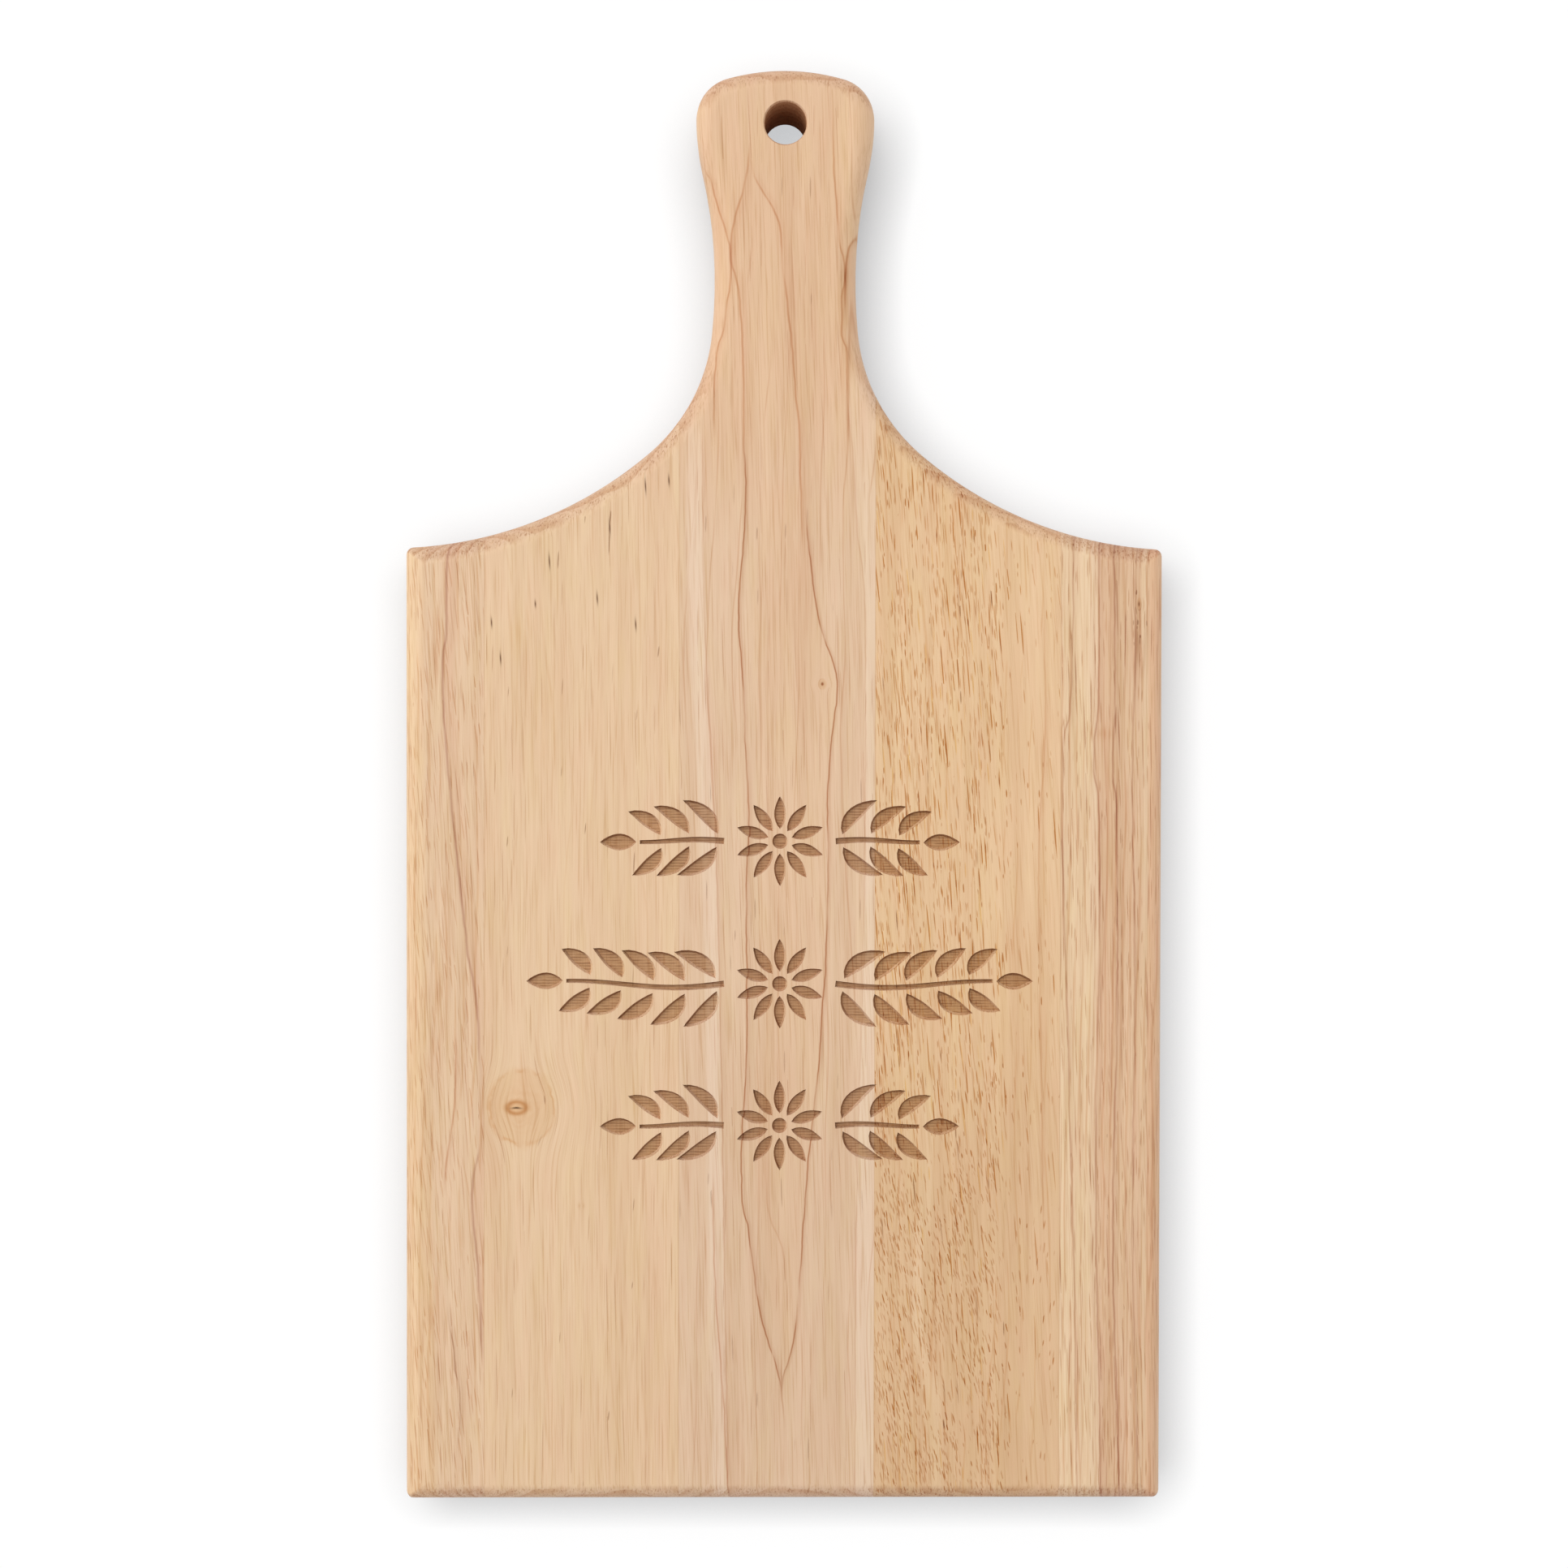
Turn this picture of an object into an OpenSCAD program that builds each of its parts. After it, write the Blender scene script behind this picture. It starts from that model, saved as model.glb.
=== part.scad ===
// Paddle charcuterie board, edge-glued from solid wood staves.
// The board lies flat: +X to the right, +Y towards the handle, +Z up out of the serving face.
// The origin is under the middle of the board, on the surface that it lies on.

/* [Board] */
// Overall length, from the bottom edge to the top of the handle
board_length = 431.8; // [380:0.1:520]
// Overall width of the blade
board_width = 228.6; // [205:0.1:260]
// Thickness of the finished panel
board_thickness = 19.05; // [15:0.05:28]

/* [Handle] */
// Length of the handle, from the tips of the shoulders to the top
handle_length = 143.8; // [134:0.1:156]
// Width of the head, the widest part of the handle
head_width = 53.8; // [49:0.1:60]
// Radius of the crown, the gentle curve across the top of the handle
crown_radius = 64.5; // [50:0.5:110]
// Radius of the two corners of the head
head_corner_radius = 12.7; // [10:0.1:16]
// Radius of the cheeks, where the head starts to narrow towards the neck
cheek_radius = 62; // [45:0.5:90]
// Width of the neck, the narrowest part of the handle
neck_width = 42.6; // [36:0.1:46]
// Radius of the hollow curve along each side of the neck
neck_radius = 153.5; // [125:0.5:180]

/* [Shoulders] */
// Radius of the tighter hollow curve where the neck runs into the shoulder
throat_radius = 55; // [45:0.5:65]
// Radius of the long hollow curve along the shoulder
shoulder_radius = 120; // [105:0.5:135]
// Slope of the shoulder where it meets the side, in degrees
shoulder_slope = 2.2; // [0:0.1:5]

/* [Edges] */
// Radius of the routed round-over along both faces
roundover_radius = 6.35; // [3:0.05:7]
// Plan radius of the four corners of the blade
blade_corner_radius = 2.4; // [1.5:0.1:6]
// Radius that sanding leaves where two round-overs meet at a corner
mitre_radius = 0.9; // [0.5:0.1:1.4]

/* [Hanging hole] */
// Diameter of the hanging hole
hole_diameter = 12.7; // [8:0.1:14.5]
// Distance from the top of the handle down to the centre of the hole
hole_drop = 17.5; // [16.5:0.1:24]
// Width of the sanded ease round both mouths of the hole
hole_ease = 0.4; // [0.2:0.05:1]

/* [Staves] */
// Margin of the centre stave outside the head, on the left
head_margin_left = 4.7; // [0.3:0.1:10]
// Margin of the centre stave outside the head, on the right
head_margin_right = 0.3; // [0.3:0.1:10]
// Width of the stave left of the centre one
left_stave_width = 58.3; // [40:0.1:64]
// Width of the stave right of the centre one
right_stave_width = 55.7; // [40:0.1:64]
// Thickness of the cured glue film in each joint
glue_line = 0.15; // [0.1:0.05:0.3]

/* [Hidden] */

// Coarsest turn and shortest step along an arc of the outline
$fa = 2.5;
$fs = 1;
// Longest step across the board along the shoulder
shoulder_step = 2.2;
// Steps across each round-over
roundover_steps = 6;
// Flat land kept round the mouths of the hanging hole
hole_land = 0.45;
// How far a cutting shape runs past what it cuts
overrun = 1;

side_x = board_width / 2;
top_y = board_length / 2;
bottom_y = -board_length / 2;
tip_y = top_y - handle_length;

// Colours of the wood and of the glue
cream = [0.93, 0.81, 0.62];
straw = [0.92, 0.80, 0.60];
pink_tan = [0.88, 0.73, 0.57];
honey = [0.90, 0.76, 0.54];
rose_tan = [0.86, 0.70, 0.54];
glue_amber = [0.72, 0.55, 0.36];

// Distance of each glue joint from the middle of the board
left_inner_seam = head_width / 2 + head_margin_left;
left_outer_seam = left_inner_seam + left_stave_width;
right_inner_seam = head_width / 2 + head_margin_right;
right_outer_seam = right_inner_seam + right_stave_width;

// Direction from one point to another, from 0 to 360 degrees
function bearing(from, to) =
    let (angle = atan2(to.y - from.y, to.x - from.x))
    angle < 0 ? angle + 360 : angle;

function polar(centre, radius, angle) = centre + radius * [cos(angle), sin(angle)];

// Third side of a right-angled triangle
function leg(hypotenuse, other) = sqrt(pow(hypotenuse, 2) - pow(other, 2));

// Centre of a small circle that touches two larger ones from inside
function touching_inside(centre_a, radius_a, centre_b, radius_b, radius) =
    let (
        apart = norm(centre_b - centre_a),
        along = (centre_b - centre_a) / apart,
        reach_a = radius_a - radius,
        reach_b = radius_b - radius,
        foot = (pow(reach_a, 2) - pow(reach_b, 2) + pow(apart, 2)) / (2 * apart)
    )
    centre_a + foot * along + leg(reach_a, foot) * [-along.y, along.x];

// Steps that $fa and $fs give an arc
function arc_steps(radius, sweep) =
    ceil(abs(sweep) / min(360, max($fa, $fs / radius * 180 / PI)));

function arc_points(centre, radius, from, to, steps) =
    [for (i = [0 : steps]) polar(centre, radius, from + (to - from) * i / steps)];

function without_first(points) = [for (i = [1 : len(points) - 1]) points[i]];

function mirrored(points) = [for (i = [len(points) - 1 : -1 : 0]) [-points[i].x, points[i].y]];

// Centres of the arcs down the right side. Each arc runs smoothly into the next.
crown_centre = [0, top_y - crown_radius];
head_corner_centre = [
    head_width / 2 - head_corner_radius,
    crown_centre.y + leg(crown_radius - head_corner_radius, head_width / 2 - head_corner_radius)
];
cheek_centre = [head_width / 2 - cheek_radius, head_corner_centre.y];
neck_centre_x = neck_width / 2 + neck_radius;
neck_centre = [
    neck_centre_x,
    cheek_centre.y - leg(cheek_radius + neck_radius, neck_centre_x - cheek_centre.x)
];
shoulder_centre = polar([side_x, tip_y], shoulder_radius, 90 - shoulder_slope);
throat_centre =
    touching_inside(neck_centre, neck_radius, shoulder_centre, shoulder_radius, throat_radius);

// Where one arc hands over to the next, as directions from their centres
crown_end = bearing(crown_centre, head_corner_centre);
cheek_end = bearing(cheek_centre, neck_centre) - 360;
neck_start = bearing(neck_centre, cheek_centre);
neck_end = bearing(neck_centre, throat_centre);
throat_end = bearing(shoulder_centre, throat_centre);

// Blade corner at a given inset: the radius shrinks with the inset, down to the sanded mitre
function corner_radius_at(inset) = max(blade_corner_radius - inset, mitre_radius);
function shoulder_corner_at(inset) =
    let (
        radius = corner_radius_at(inset),
        x = side_x - inset - radius
    )
    [x, shoulder_centre.y - leg(shoulder_radius + inset + radius, shoulder_centre.x - x)];
function bottom_corner_at(inset) =
    let (
        reach = inset + corner_radius_at(inset)
    )
    [side_x - reach, bottom_y + reach];

// Height of the throat and shoulder curve at a place across the board, at a given inset
function shoulder_line(x, inset) =
    let (
        handover = throat_centre.x + (throat_radius + inset) * cos(throat_end)
    )
    x < handover
        ? throat_centre.y - leg(throat_radius + inset, x - throat_centre.x)
        : shoulder_centre.y - leg(shoulder_radius + inset, x - shoulder_centre.x);

// Points of the shoulder curve between two places, evenly spaced across the board
function shoulder_points(from_x, to_x, inset, steps) =
    [for (i = [0 : steps])
        let (
            x = from_x + (to_x - from_x) * i / steps
        )
        [x, shoulder_line(x, inset)]];

function shoulder_steps(from_x, to_x) = ceil((to_x - from_x) / shoulder_step);

// Direction from the centre of the throat to where its curve crosses a joint
function throat_bearing(seam, inset) =
    360 - acos((seam - throat_centre.x) / (throat_radius + inset));

// Outline of the wood between two joints on one side of the handle, clockwise
function strip_outline(from_x, to_x, inset) =
    concat(
        [[from_x, bottom_y + inset]],
        shoulder_points(from_x, to_x, inset, shoulder_steps(from_x, to_x)),
        [[to_x, bottom_y + inset]]
    );

// Outline of the wood from the last joint out to the side of the blade, clockwise
function edge_strip_outline(seam, inset) =
    let (
        radius = corner_radius_at(inset),
        corner = shoulder_corner_at(inset),
        corner_start = bearing(shoulder_centre, corner) - 180,
        contact_x = polar(corner, radius, corner_start).x,
        corner_steps = arc_steps(blade_corner_radius, 90)
    )
    concat(
        [[seam, bottom_y + inset]],
        shoulder_points(seam, contact_x, inset, shoulder_steps(seam, side_x)),
        without_first(arc_points(corner, radius, corner_start, 0, corner_steps)),
        arc_points(bottom_corner_at(inset), radius, 0, -90, corner_steps)
    );

// Steps along each arc of the handle
crown_steps = arc_steps(crown_radius, 90 - crown_end);
head_corner_steps = arc_steps(head_corner_radius, crown_end);
cheek_steps = arc_steps(cheek_radius, cheek_end);
neck_steps = arc_steps(neck_radius, neck_end - neck_start);
throat_steps = arc_steps(
    throat_radius, throat_bearing(max(left_inner_seam, right_inner_seam), 0) - neck_end
);

// Right half of the centre stave, from the crown down to the joint and the bottom edge
function handle_half(seam, inset) =
    concat(
        arc_points(crown_centre, crown_radius - inset, 90, crown_end, crown_steps),
        without_first(arc_points(
            head_corner_centre, head_corner_radius - inset, crown_end, 0, head_corner_steps
        )),
        without_first(arc_points(cheek_centre, cheek_radius - inset, 0, cheek_end, cheek_steps)),
        without_first(arc_points(
            neck_centre, neck_radius + inset, neck_start, neck_end, neck_steps
        )),
        without_first(arc_points(
            throat_centre, throat_radius + inset, neck_end, throat_bearing(seam, inset), throat_steps
        )),
        [[seam, bottom_y + inset]]
    );

// Outline of the centre stave, clockwise from the middle of the crown
function centre_outline(left_seam, right_seam, inset) =
    concat(
        handle_half(right_seam, inset),
        mirrored(without_first(handle_half(left_seam, inset)))
    );

// Inset and height of each ring of the edge, from the underside up to the serving face
edge_rings = concat(
    [for (i = [roundover_steps : -1 : 0]) let (angle = 90 * i / roundover_steps)
        [roundover_radius * (1 - cos(angle)), roundover_radius * (1 - sin(angle))]],
    [for (i = [0 : roundover_steps]) let (angle = 90 * i / roundover_steps)
        [roundover_radius * (1 - cos(angle)), board_thickness - roundover_radius * (1 - sin(angle))]]
);

function at_height(outline, z) = [for (p = outline) [p.x, p.y, z]];

// Quads up the sides of a loft, from ring 0 to the last ring
function loft_sides(count, last) = [
    for (k = [0 : last - 1], i = [0 : count - 1])
        let (
            next = (i + 1) % count,
            low = k * count,
            high = (k + 1) * count
        )
        [low + i, low + next, high + next, high + i]
];

// The same face seen from its other side, with the same first corner
function turned_over(face) = [for (i = [len(face) : -1 : 1]) face[i % len(face)]];

// Solid lofted through rings that all have the same number of points
module loft(rings) {
    count = len(rings[0]);
    last = len(rings) - 1;
    polyhedron(
        points = [for (ring = rings) each ring],
        faces = concat(
            [[for (i = [count - 1 : -1 : 0]) i]],
            [[for (i = [0 : count - 1]) last * count + i]],
            loft_sides(count, last)
        ),
        convexity = 6
    );
}

// Flat face of the centre stave in simple parts, clockwise: a square round the hanging hole, the head
// and upper neck on each side of it, and below them one strip right across for each step of the outline.
// The square starts at its upper left corner, and split is the point where the strips begin.
function handle_face(ring_start, square_start, count, split) =
    let (
        crown = ring_start,
        upper_left = square_start,
        upper_right = square_start + 1,
        lower_right = square_start + 2,
        lower_left = square_start + 3,
        foot = (count - 1) / 2
    )
    concat(
        [
            [upper_left, upper_right, lower_right, lower_left],
            [crown, upper_right, upper_left],
            concat([upper_right], [for (i = [0 : split]) ring_start + i], [lower_right]),
            concat(
                [upper_left, lower_left],
                [for (i = [split : -1 : 1]) ring_start + count - i],
                [crown]
            ),
            [lower_left, lower_right, ring_start + split, ring_start + count - split]
        ],
        [for (i = [split : foot - 1])
            [
                ring_start + count - i, ring_start + i,
                ring_start + i + 1, ring_start + count - i - 1
            ]]
    );

// Solid of the centre stave before the hole is bored
module handle_loft(rings) {
    count = len(rings[0]);
    last = len(rings) - 1;
    square_start = count * len(rings);
    split = crown_steps + head_corner_steps + cheek_steps + floor(neck_steps / 2);
    reach = hole_diameter / 2 + hole_ease + hole_land;
    square = [[-reach, reach], [reach, reach], [reach, -reach], [-reach, -reach]];
    polyhedron(
        points = concat(
            [for (ring = rings) each ring],
            [for (z = [0, board_thickness], p = square) [p.x, top_y - hole_drop + p.y, z]]
        ),
        faces = concat(
            [for (face = handle_face(0, square_start, count, split)) turned_over(face)],
            handle_face(last * count, square_start + 4, count, split),
            loft_sides(count, last)
        ),
        convexity = 6
    );
}

// The wood between two joints, with the round-over routed along both faces
module strip(from_x, to_x) {
    loft([for (ring = edge_rings) at_height(strip_outline(from_x, to_x, ring[0]), ring[1])]);
}

module edge_strip(seam) {
    loft([for (ring = edge_rings) at_height(edge_strip_outline(seam, ring[0]), ring[1])]);
}

module glue_film(seam) {
    strip(seam - glue_line / 2, seam + glue_line / 2);
}

// Puts a shape made for the right side of the board on its left
module on_the_left() {
    mirror([1, 0, 0]) children();
}

// Straight hole with its mouths eased by sanding
module hanging_hole() {
    hole_radius = hole_diameter / 2;
    translate([0, top_y - hole_drop, 0]) {
        translate([0, 0, -overrun])
            cylinder(r = hole_radius, h = board_thickness + 2 * overrun);
        translate([0, 0, -overrun])
            cylinder(r1 = hole_radius + hole_ease + overrun, r2 = hole_radius, h = hole_ease + overrun);
        translate([0, 0, board_thickness - hole_ease])
            cylinder(r1 = hole_radius, r2 = hole_radius + hole_ease + overrun, h = hole_ease + overrun);
    }
}

module left_edge_stave() {
    color(straw) on_the_left() edge_strip(left_outer_seam + glue_line / 2);
}

module left_stave() {
    color(cream) on_the_left()
        strip(left_inner_seam + glue_line / 2, left_outer_seam - glue_line / 2);
}

// The only stave that runs the whole length: it carries the handle
module centre_stave() {
    left_face = left_inner_seam - glue_line / 2;
    right_face = right_inner_seam - glue_line / 2;
    color(pink_tan) difference() {
        handle_loft([
            for (ring = edge_rings) at_height(centre_outline(left_face, right_face, ring[0]), ring[1])
        ]);
        hanging_hole();
    }
}

module right_stave() {
    color(honey) strip(right_inner_seam + glue_line / 2, right_outer_seam - glue_line / 2);
}

module right_edge_stave() {
    color(rose_tan) edge_strip(right_outer_seam + glue_line / 2);
}

module left_edge_glue_line() color(glue_amber) on_the_left() glue_film(left_outer_seam);

module left_glue_line() color(glue_amber) on_the_left() glue_film(left_inner_seam);

module right_glue_line() color(glue_amber) glue_film(right_inner_seam);

module right_edge_glue_line() color(glue_amber) glue_film(right_outer_seam);

left_edge_stave();
left_stave();
centre_stave();
right_stave();
right_edge_stave();
left_edge_glue_line();
left_glue_line();
right_glue_line();
right_edge_glue_line();
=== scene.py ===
"""Paddle charcuterie board lying on a white floor, seen from above.

Five edge-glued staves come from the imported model. Each gets a wood of its own, worked out from the
place in the board, so the figure runs through from the face to the edges and the end grain. The
middle of the serving face carries an engraved band of leaves and rosettes.
Lengths are in metres in the objects and in millimetres in the materials.
"""
import math

import bmesh
import bpy
from mathutils import Matrix, Vector
from mathutils.geometry import delaunay_2d_cdt


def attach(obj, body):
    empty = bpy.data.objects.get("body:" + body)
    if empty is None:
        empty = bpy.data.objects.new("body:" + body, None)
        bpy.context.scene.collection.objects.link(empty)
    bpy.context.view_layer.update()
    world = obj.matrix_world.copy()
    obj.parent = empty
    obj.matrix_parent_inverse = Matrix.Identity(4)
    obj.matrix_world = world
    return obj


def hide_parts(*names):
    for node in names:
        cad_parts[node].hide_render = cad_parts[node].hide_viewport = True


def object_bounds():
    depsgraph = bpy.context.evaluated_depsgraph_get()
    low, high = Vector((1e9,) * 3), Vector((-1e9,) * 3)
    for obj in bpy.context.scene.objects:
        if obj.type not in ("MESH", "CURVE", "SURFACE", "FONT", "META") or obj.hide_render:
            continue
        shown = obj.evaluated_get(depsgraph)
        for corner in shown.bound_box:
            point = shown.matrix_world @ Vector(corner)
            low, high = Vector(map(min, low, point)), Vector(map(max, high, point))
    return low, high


MM = 0.001

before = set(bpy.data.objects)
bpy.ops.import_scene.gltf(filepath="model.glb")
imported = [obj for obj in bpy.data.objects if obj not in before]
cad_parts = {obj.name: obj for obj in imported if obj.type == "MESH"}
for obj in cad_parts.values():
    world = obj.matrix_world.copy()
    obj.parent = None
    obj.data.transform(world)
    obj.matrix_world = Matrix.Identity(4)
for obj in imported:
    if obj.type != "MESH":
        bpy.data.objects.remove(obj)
cad_low, cad_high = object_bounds()

# The height of the serving face and half the board's length, in millimetres
FACE = cad_high.z / MM
HALF_LENGTH = cad_high.y / MM
# The hanging hole: how far its middle is below the crown, and its radius
HOLE_BELOW_CROWN, HOLE_RADIUS = 17.5, 6.35

GLUE_LINES = ["left_edge_glue_line", "left_glue_line", "right_glue_line", "right_edge_glue_line"]
ENGRAVED = {"left_stave", "centre_stave", "right_stave", "left_glue_line", "right_glue_line"}


def add_object(name, data):
    """A new object that stands in the scene."""
    made = bpy.data.objects.new(name, data)
    bpy.context.scene.collection.objects.link(made)
    return made


# ---- camera and light

# The camera's place in millimetres, its small turns off square in radians, and its lens
CAMERA_PLACE = Vector((-3.62, 5.60, 531.5))
TILT, TURN, ROLL = 0.00925, 0.00681, -0.00165
LENS, SENSOR_WIDTH = 39.256, 36


def place_camera():
    """Looks straight down on the board, very slightly off square."""
    forward = Vector((math.sin(TURN), -math.sin(TILT), -math.cos(TILT))).normalized()
    up = Vector((0, 1, 0))
    up = (up - forward * up.dot(forward)).normalized()
    right = forward.cross(up)
    image_right = right * math.cos(ROLL) - up * math.sin(ROLL)
    image_up = right * math.sin(ROLL) + up * math.cos(ROLL)
    data = bpy.data.cameras.new("camera")
    data.sensor_width = SENSOR_WIDTH
    data.lens = LENS
    camera = add_object("camera", data)
    matrix = Matrix((image_right, image_up, -forward)).transposed().to_4x4()
    matrix.translation = CAMERA_PLACE * MM
    camera.matrix_world = matrix
    bpy.context.scene.camera = camera


# Share of the light that comes from the lamp; the rest comes from all round
LAMP_SHARE = 0.42
# Direction towards the lamp: up and a little to the upper left
LAMP_DIRECTION = Vector((-0.44, 0.46, 0.85)).normalized()
LAMP_WIDTH = math.radians(62)
# Brightness of the surroundings at the horizon and straight above; a level surface gets 1 in all
HORIZON, ZENITH = 1.8, 0.6


def place_lights():
    """At these strengths a level white surface in the open renders as white."""
    world = bpy.data.worlds.new("studio")
    world.use_nodes = True
    tree = world.node_tree
    background = tree.nodes["Background"]
    background.inputs["Color"].default_value = (1, 1, 1, 1)
    direction = tree.nodes.new("ShaderNodeTexCoord")
    parts = tree.nodes.new("ShaderNodeSeparateXYZ")
    height = tree.nodes.new("ShaderNodeMapRange")
    path = tree.nodes.new("ShaderNodeLightPath")
    seen = tree.nodes.new("ShaderNodeMix")
    height.inputs["To Min"].default_value = HORIZON * (1 - LAMP_SHARE)
    height.inputs["To Max"].default_value = ZENITH * (1 - LAMP_SHARE)
    seen.inputs["B"].default_value = 1.0
    for source, target in (
        (direction.outputs["Generated"], parts.inputs[0]),
        (parts.outputs["Z"], height.inputs["Value"]),
        (path.outputs["Is Camera Ray"], seen.inputs["Factor"]),
        (height.outputs["Result"], seen.inputs["A"]),
        (seen.outputs["Result"], background.inputs["Strength"]),
    ):
        tree.links.new(source, target)
    bpy.context.scene.world = world
    data = bpy.data.lights.new("key", "SUN")
    data.angle = LAMP_WIDTH
    data.energy = math.pi * LAMP_SHARE / LAMP_DIRECTION.z
    lamp = add_object("key", data)
    lamp.rotation_mode = "QUATERNION"
    lamp.rotation_quaternion = LAMP_DIRECTION.to_track_quat("Z", "Y")
    bpy.context.scene.view_settings.view_transform = "Standard"


# ---- arithmetic on shader sockets

def operator(operation, swapped=False):
    """An arithmetic operator for signals, or its form for a plain number on the left."""
    def apply(signal, other):
        values = (other, signal) if swapped else (signal, other)
        return signal.shader.math(operation, *values)
    return apply


class Signal:
    """A number that varies over the surface, with ordinary arithmetic."""

    def __init__(self, shader, socket):
        self.shader = shader
        self.socket = socket

    __add__, __radd__ = operator("ADD"), operator("ADD", swapped=True)
    __sub__, __rsub__ = operator("SUBTRACT"), operator("SUBTRACT", swapped=True)
    __mul__, __rmul__ = operator("MULTIPLY"), operator("MULTIPLY", swapped=True)
    __truediv__ = operator("DIVIDE")

    def __abs__(self):
        return self.shader.math("ABSOLUTE", self)


class Shader:
    """Builds one material's node tree."""

    def __init__(self, name):
        self.material = bpy.data.materials.new(name)
        self.material.use_nodes = True
        self.tree = self.material.node_tree
        self.tree.nodes.clear()
        self.output = self.node("ShaderNodeOutputMaterial")
        # The place in the board, in millimetres, and the way the surface faces
        where = self.node("ShaderNodeTexCoord")
        self.x, self.y, self.z = (part * 1000.0 for part in self.split(where.outputs["Object"]))
        self.normal = self.split(where.outputs["Normal"])

    def node(self, kind, inputs=None, **settings):
        """Adds a node with the given settings, and feeds its inputs."""
        made = self.tree.nodes.new(kind)
        for key, value in settings.items():
            setattr(made, key, value)
        for name, value in (inputs or {}).items():
            self.join(value, made.inputs[name])
        return made

    def join(self, value, socket):
        """Links a signal to a socket, or sets the socket to a plain value."""
        if isinstance(value, Signal):
            self.tree.links.new(value.socket, socket)
        elif isinstance(value, bpy.types.NodeSocket):
            self.tree.links.new(value, socket)
        else:
            socket.default_value = value

    def math(self, operation, *values, clamp=False):
        """One step of arithmetic on signals or plain numbers."""
        made = self.node("ShaderNodeMath", dict(enumerate(values)), operation=operation, use_clamp=clamp)
        return Signal(self, made.outputs[0])

    def clamp(self, value):
        """The value, held between 0 and 1."""
        return self.math("ADD", value, 0.0, clamp=True)

    def smooth(self, value, low, high):
        """0 below low and 1 above high, with a soft step between. High may be below low."""
        if high < low:
            return 1 - self.smooth(value, high, low)
        inputs = {"Value": value, "From Min": low, "From Max": high}
        made = self.node("ShaderNodeMapRange", inputs, interpolation_type="SMOOTHSTEP", clamp=True)
        return Signal(self, made.outputs["Result"])

    def bell(self, value, width):
        """1 where the value is 0, falling to about a third at the given width."""
        scaled = value / width
        return self.math("EXPONENT", scaled * scaled * -1.0)

    def vector(self, x, y, z):
        """Three numbers as one vector or colour."""
        return self.node("ShaderNodeCombineXYZ", {"X": x, "Y": y, "Z": z}).outputs[0]

    def split(self, vector):
        """The three numbers of a vector."""
        made = self.node("ShaderNodeSeparateXYZ", {0: vector})
        return [Signal(self, socket) for socket in made.outputs]

    def noise(self, x, y, z, detail=2.0):
        """Cloudy noise from about -1 to 1."""
        inputs = {"Vector": self.vector(x, y, z), "Scale": 1.0, "Detail": detail, "Roughness": 0.5}
        made = self.node("ShaderNodeTexNoise", inputs, noise_dimensions="3D", normalize=False)
        return Signal(self, made.outputs[0])

    def cells(self, x, y, z):
        """Scattered points: the offsets to the nearest one, and three random numbers of its own."""
        inputs = {"Vector": self.vector(x, y, z), "Scale": 1.0, "Randomness": 1.0}
        made = self.node("ShaderNodeTexVoronoi", inputs, voronoi_dimensions="3D", feature="F1")
        px, py, pz = self.split(made.outputs["Position"])
        chance = self.split(made.outputs["Color"])
        return (x - px, y - py, z - pz), chance

    def curve(self, value, points, low, high):
        """A smooth curve through (place, value) points, read at a value; all in millimetres."""
        span = high - low
        made = self.node("ShaderNodeFloatCurve")
        made.mapping.use_clip = False
        values = [v for _, v in points]
        base, reach = min(values) - 1, max(values) - min(values) + 2
        line = made.mapping.curves[0]
        places = sorted(((p - low) / span, (v - base) / reach) for p, v in points)
        if places[0][0] > 0.0:
            places.insert(0, (0.0, places[0][1]))
        if places[-1][0] < 1.0:
            places.append((1.0, places[-1][1]))
        while len(line.points) < len(places):
            line.points.new(0.5, 0.5)
        for point, where in zip(line.points, places):
            point.location = where
        made.mapping.update()
        self.join((value - low) / span, made.inputs["Value"])
        return Signal(self, made.outputs[0]) * reach + base

    def tint(self, share, colour, shade):
        """Multiplies a colour by a shade, given as three factors, in part."""
        made = self.node("ShaderNodeMix", data_type="RGBA", blend_type="MULTIPLY")
        self.join(share, made.inputs["Factor"])
        for value, name in ((colour, "A_Color"), ((*shade, 1.0), "B_Color")):
            socket = next(s for s in made.inputs if s.identifier == name)
            self.join(value, socket)
        return next(s for s in made.outputs if s.identifier == "Result_Color")

    def from_hole(self):
        """The distance from the axis of the hanging hole."""
        x, y = self.x, self.y - (HALF_LENGTH - HOLE_BELOW_CROWN)
        return self.math("SQRT", x * x + y * y)

    def surface(self, shader_socket):
        """Gives the material its finished shader."""
        self.tree.links.new(shader_socket, self.output.inputs["Surface"])


def srgb(red, green, blue):
    """A colour as it is written on screen, 0 to 255, for a shader."""
    def linear(value):
        value = value / 255
        return value / 12.92 if value <= 0.04045 else ((value + 0.055) / 1.055) ** 2.4
    return (linear(red), linear(green), linear(blue), 1.0)


# ---- wood

# How far a pore reaches into the wood, as a share of the distance between pores
PORE_DEPTH = 0.62
# How far apart the patterns of two seeds lie
SEED_STEP = 7.3
# A given line: how far it leans with depth, and how far it shakes; and a given dash's width
LINE_LEAN, LINE_SHAKE, DASH_WIDTH = 0.3, 0.22, 0.23
# Gloss of bare wood and of cured glue
WOOD_ROUGHNESS, GLUE_ROUGHNESS, SPECULAR = 0.52, 0.36, 0.22


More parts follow.
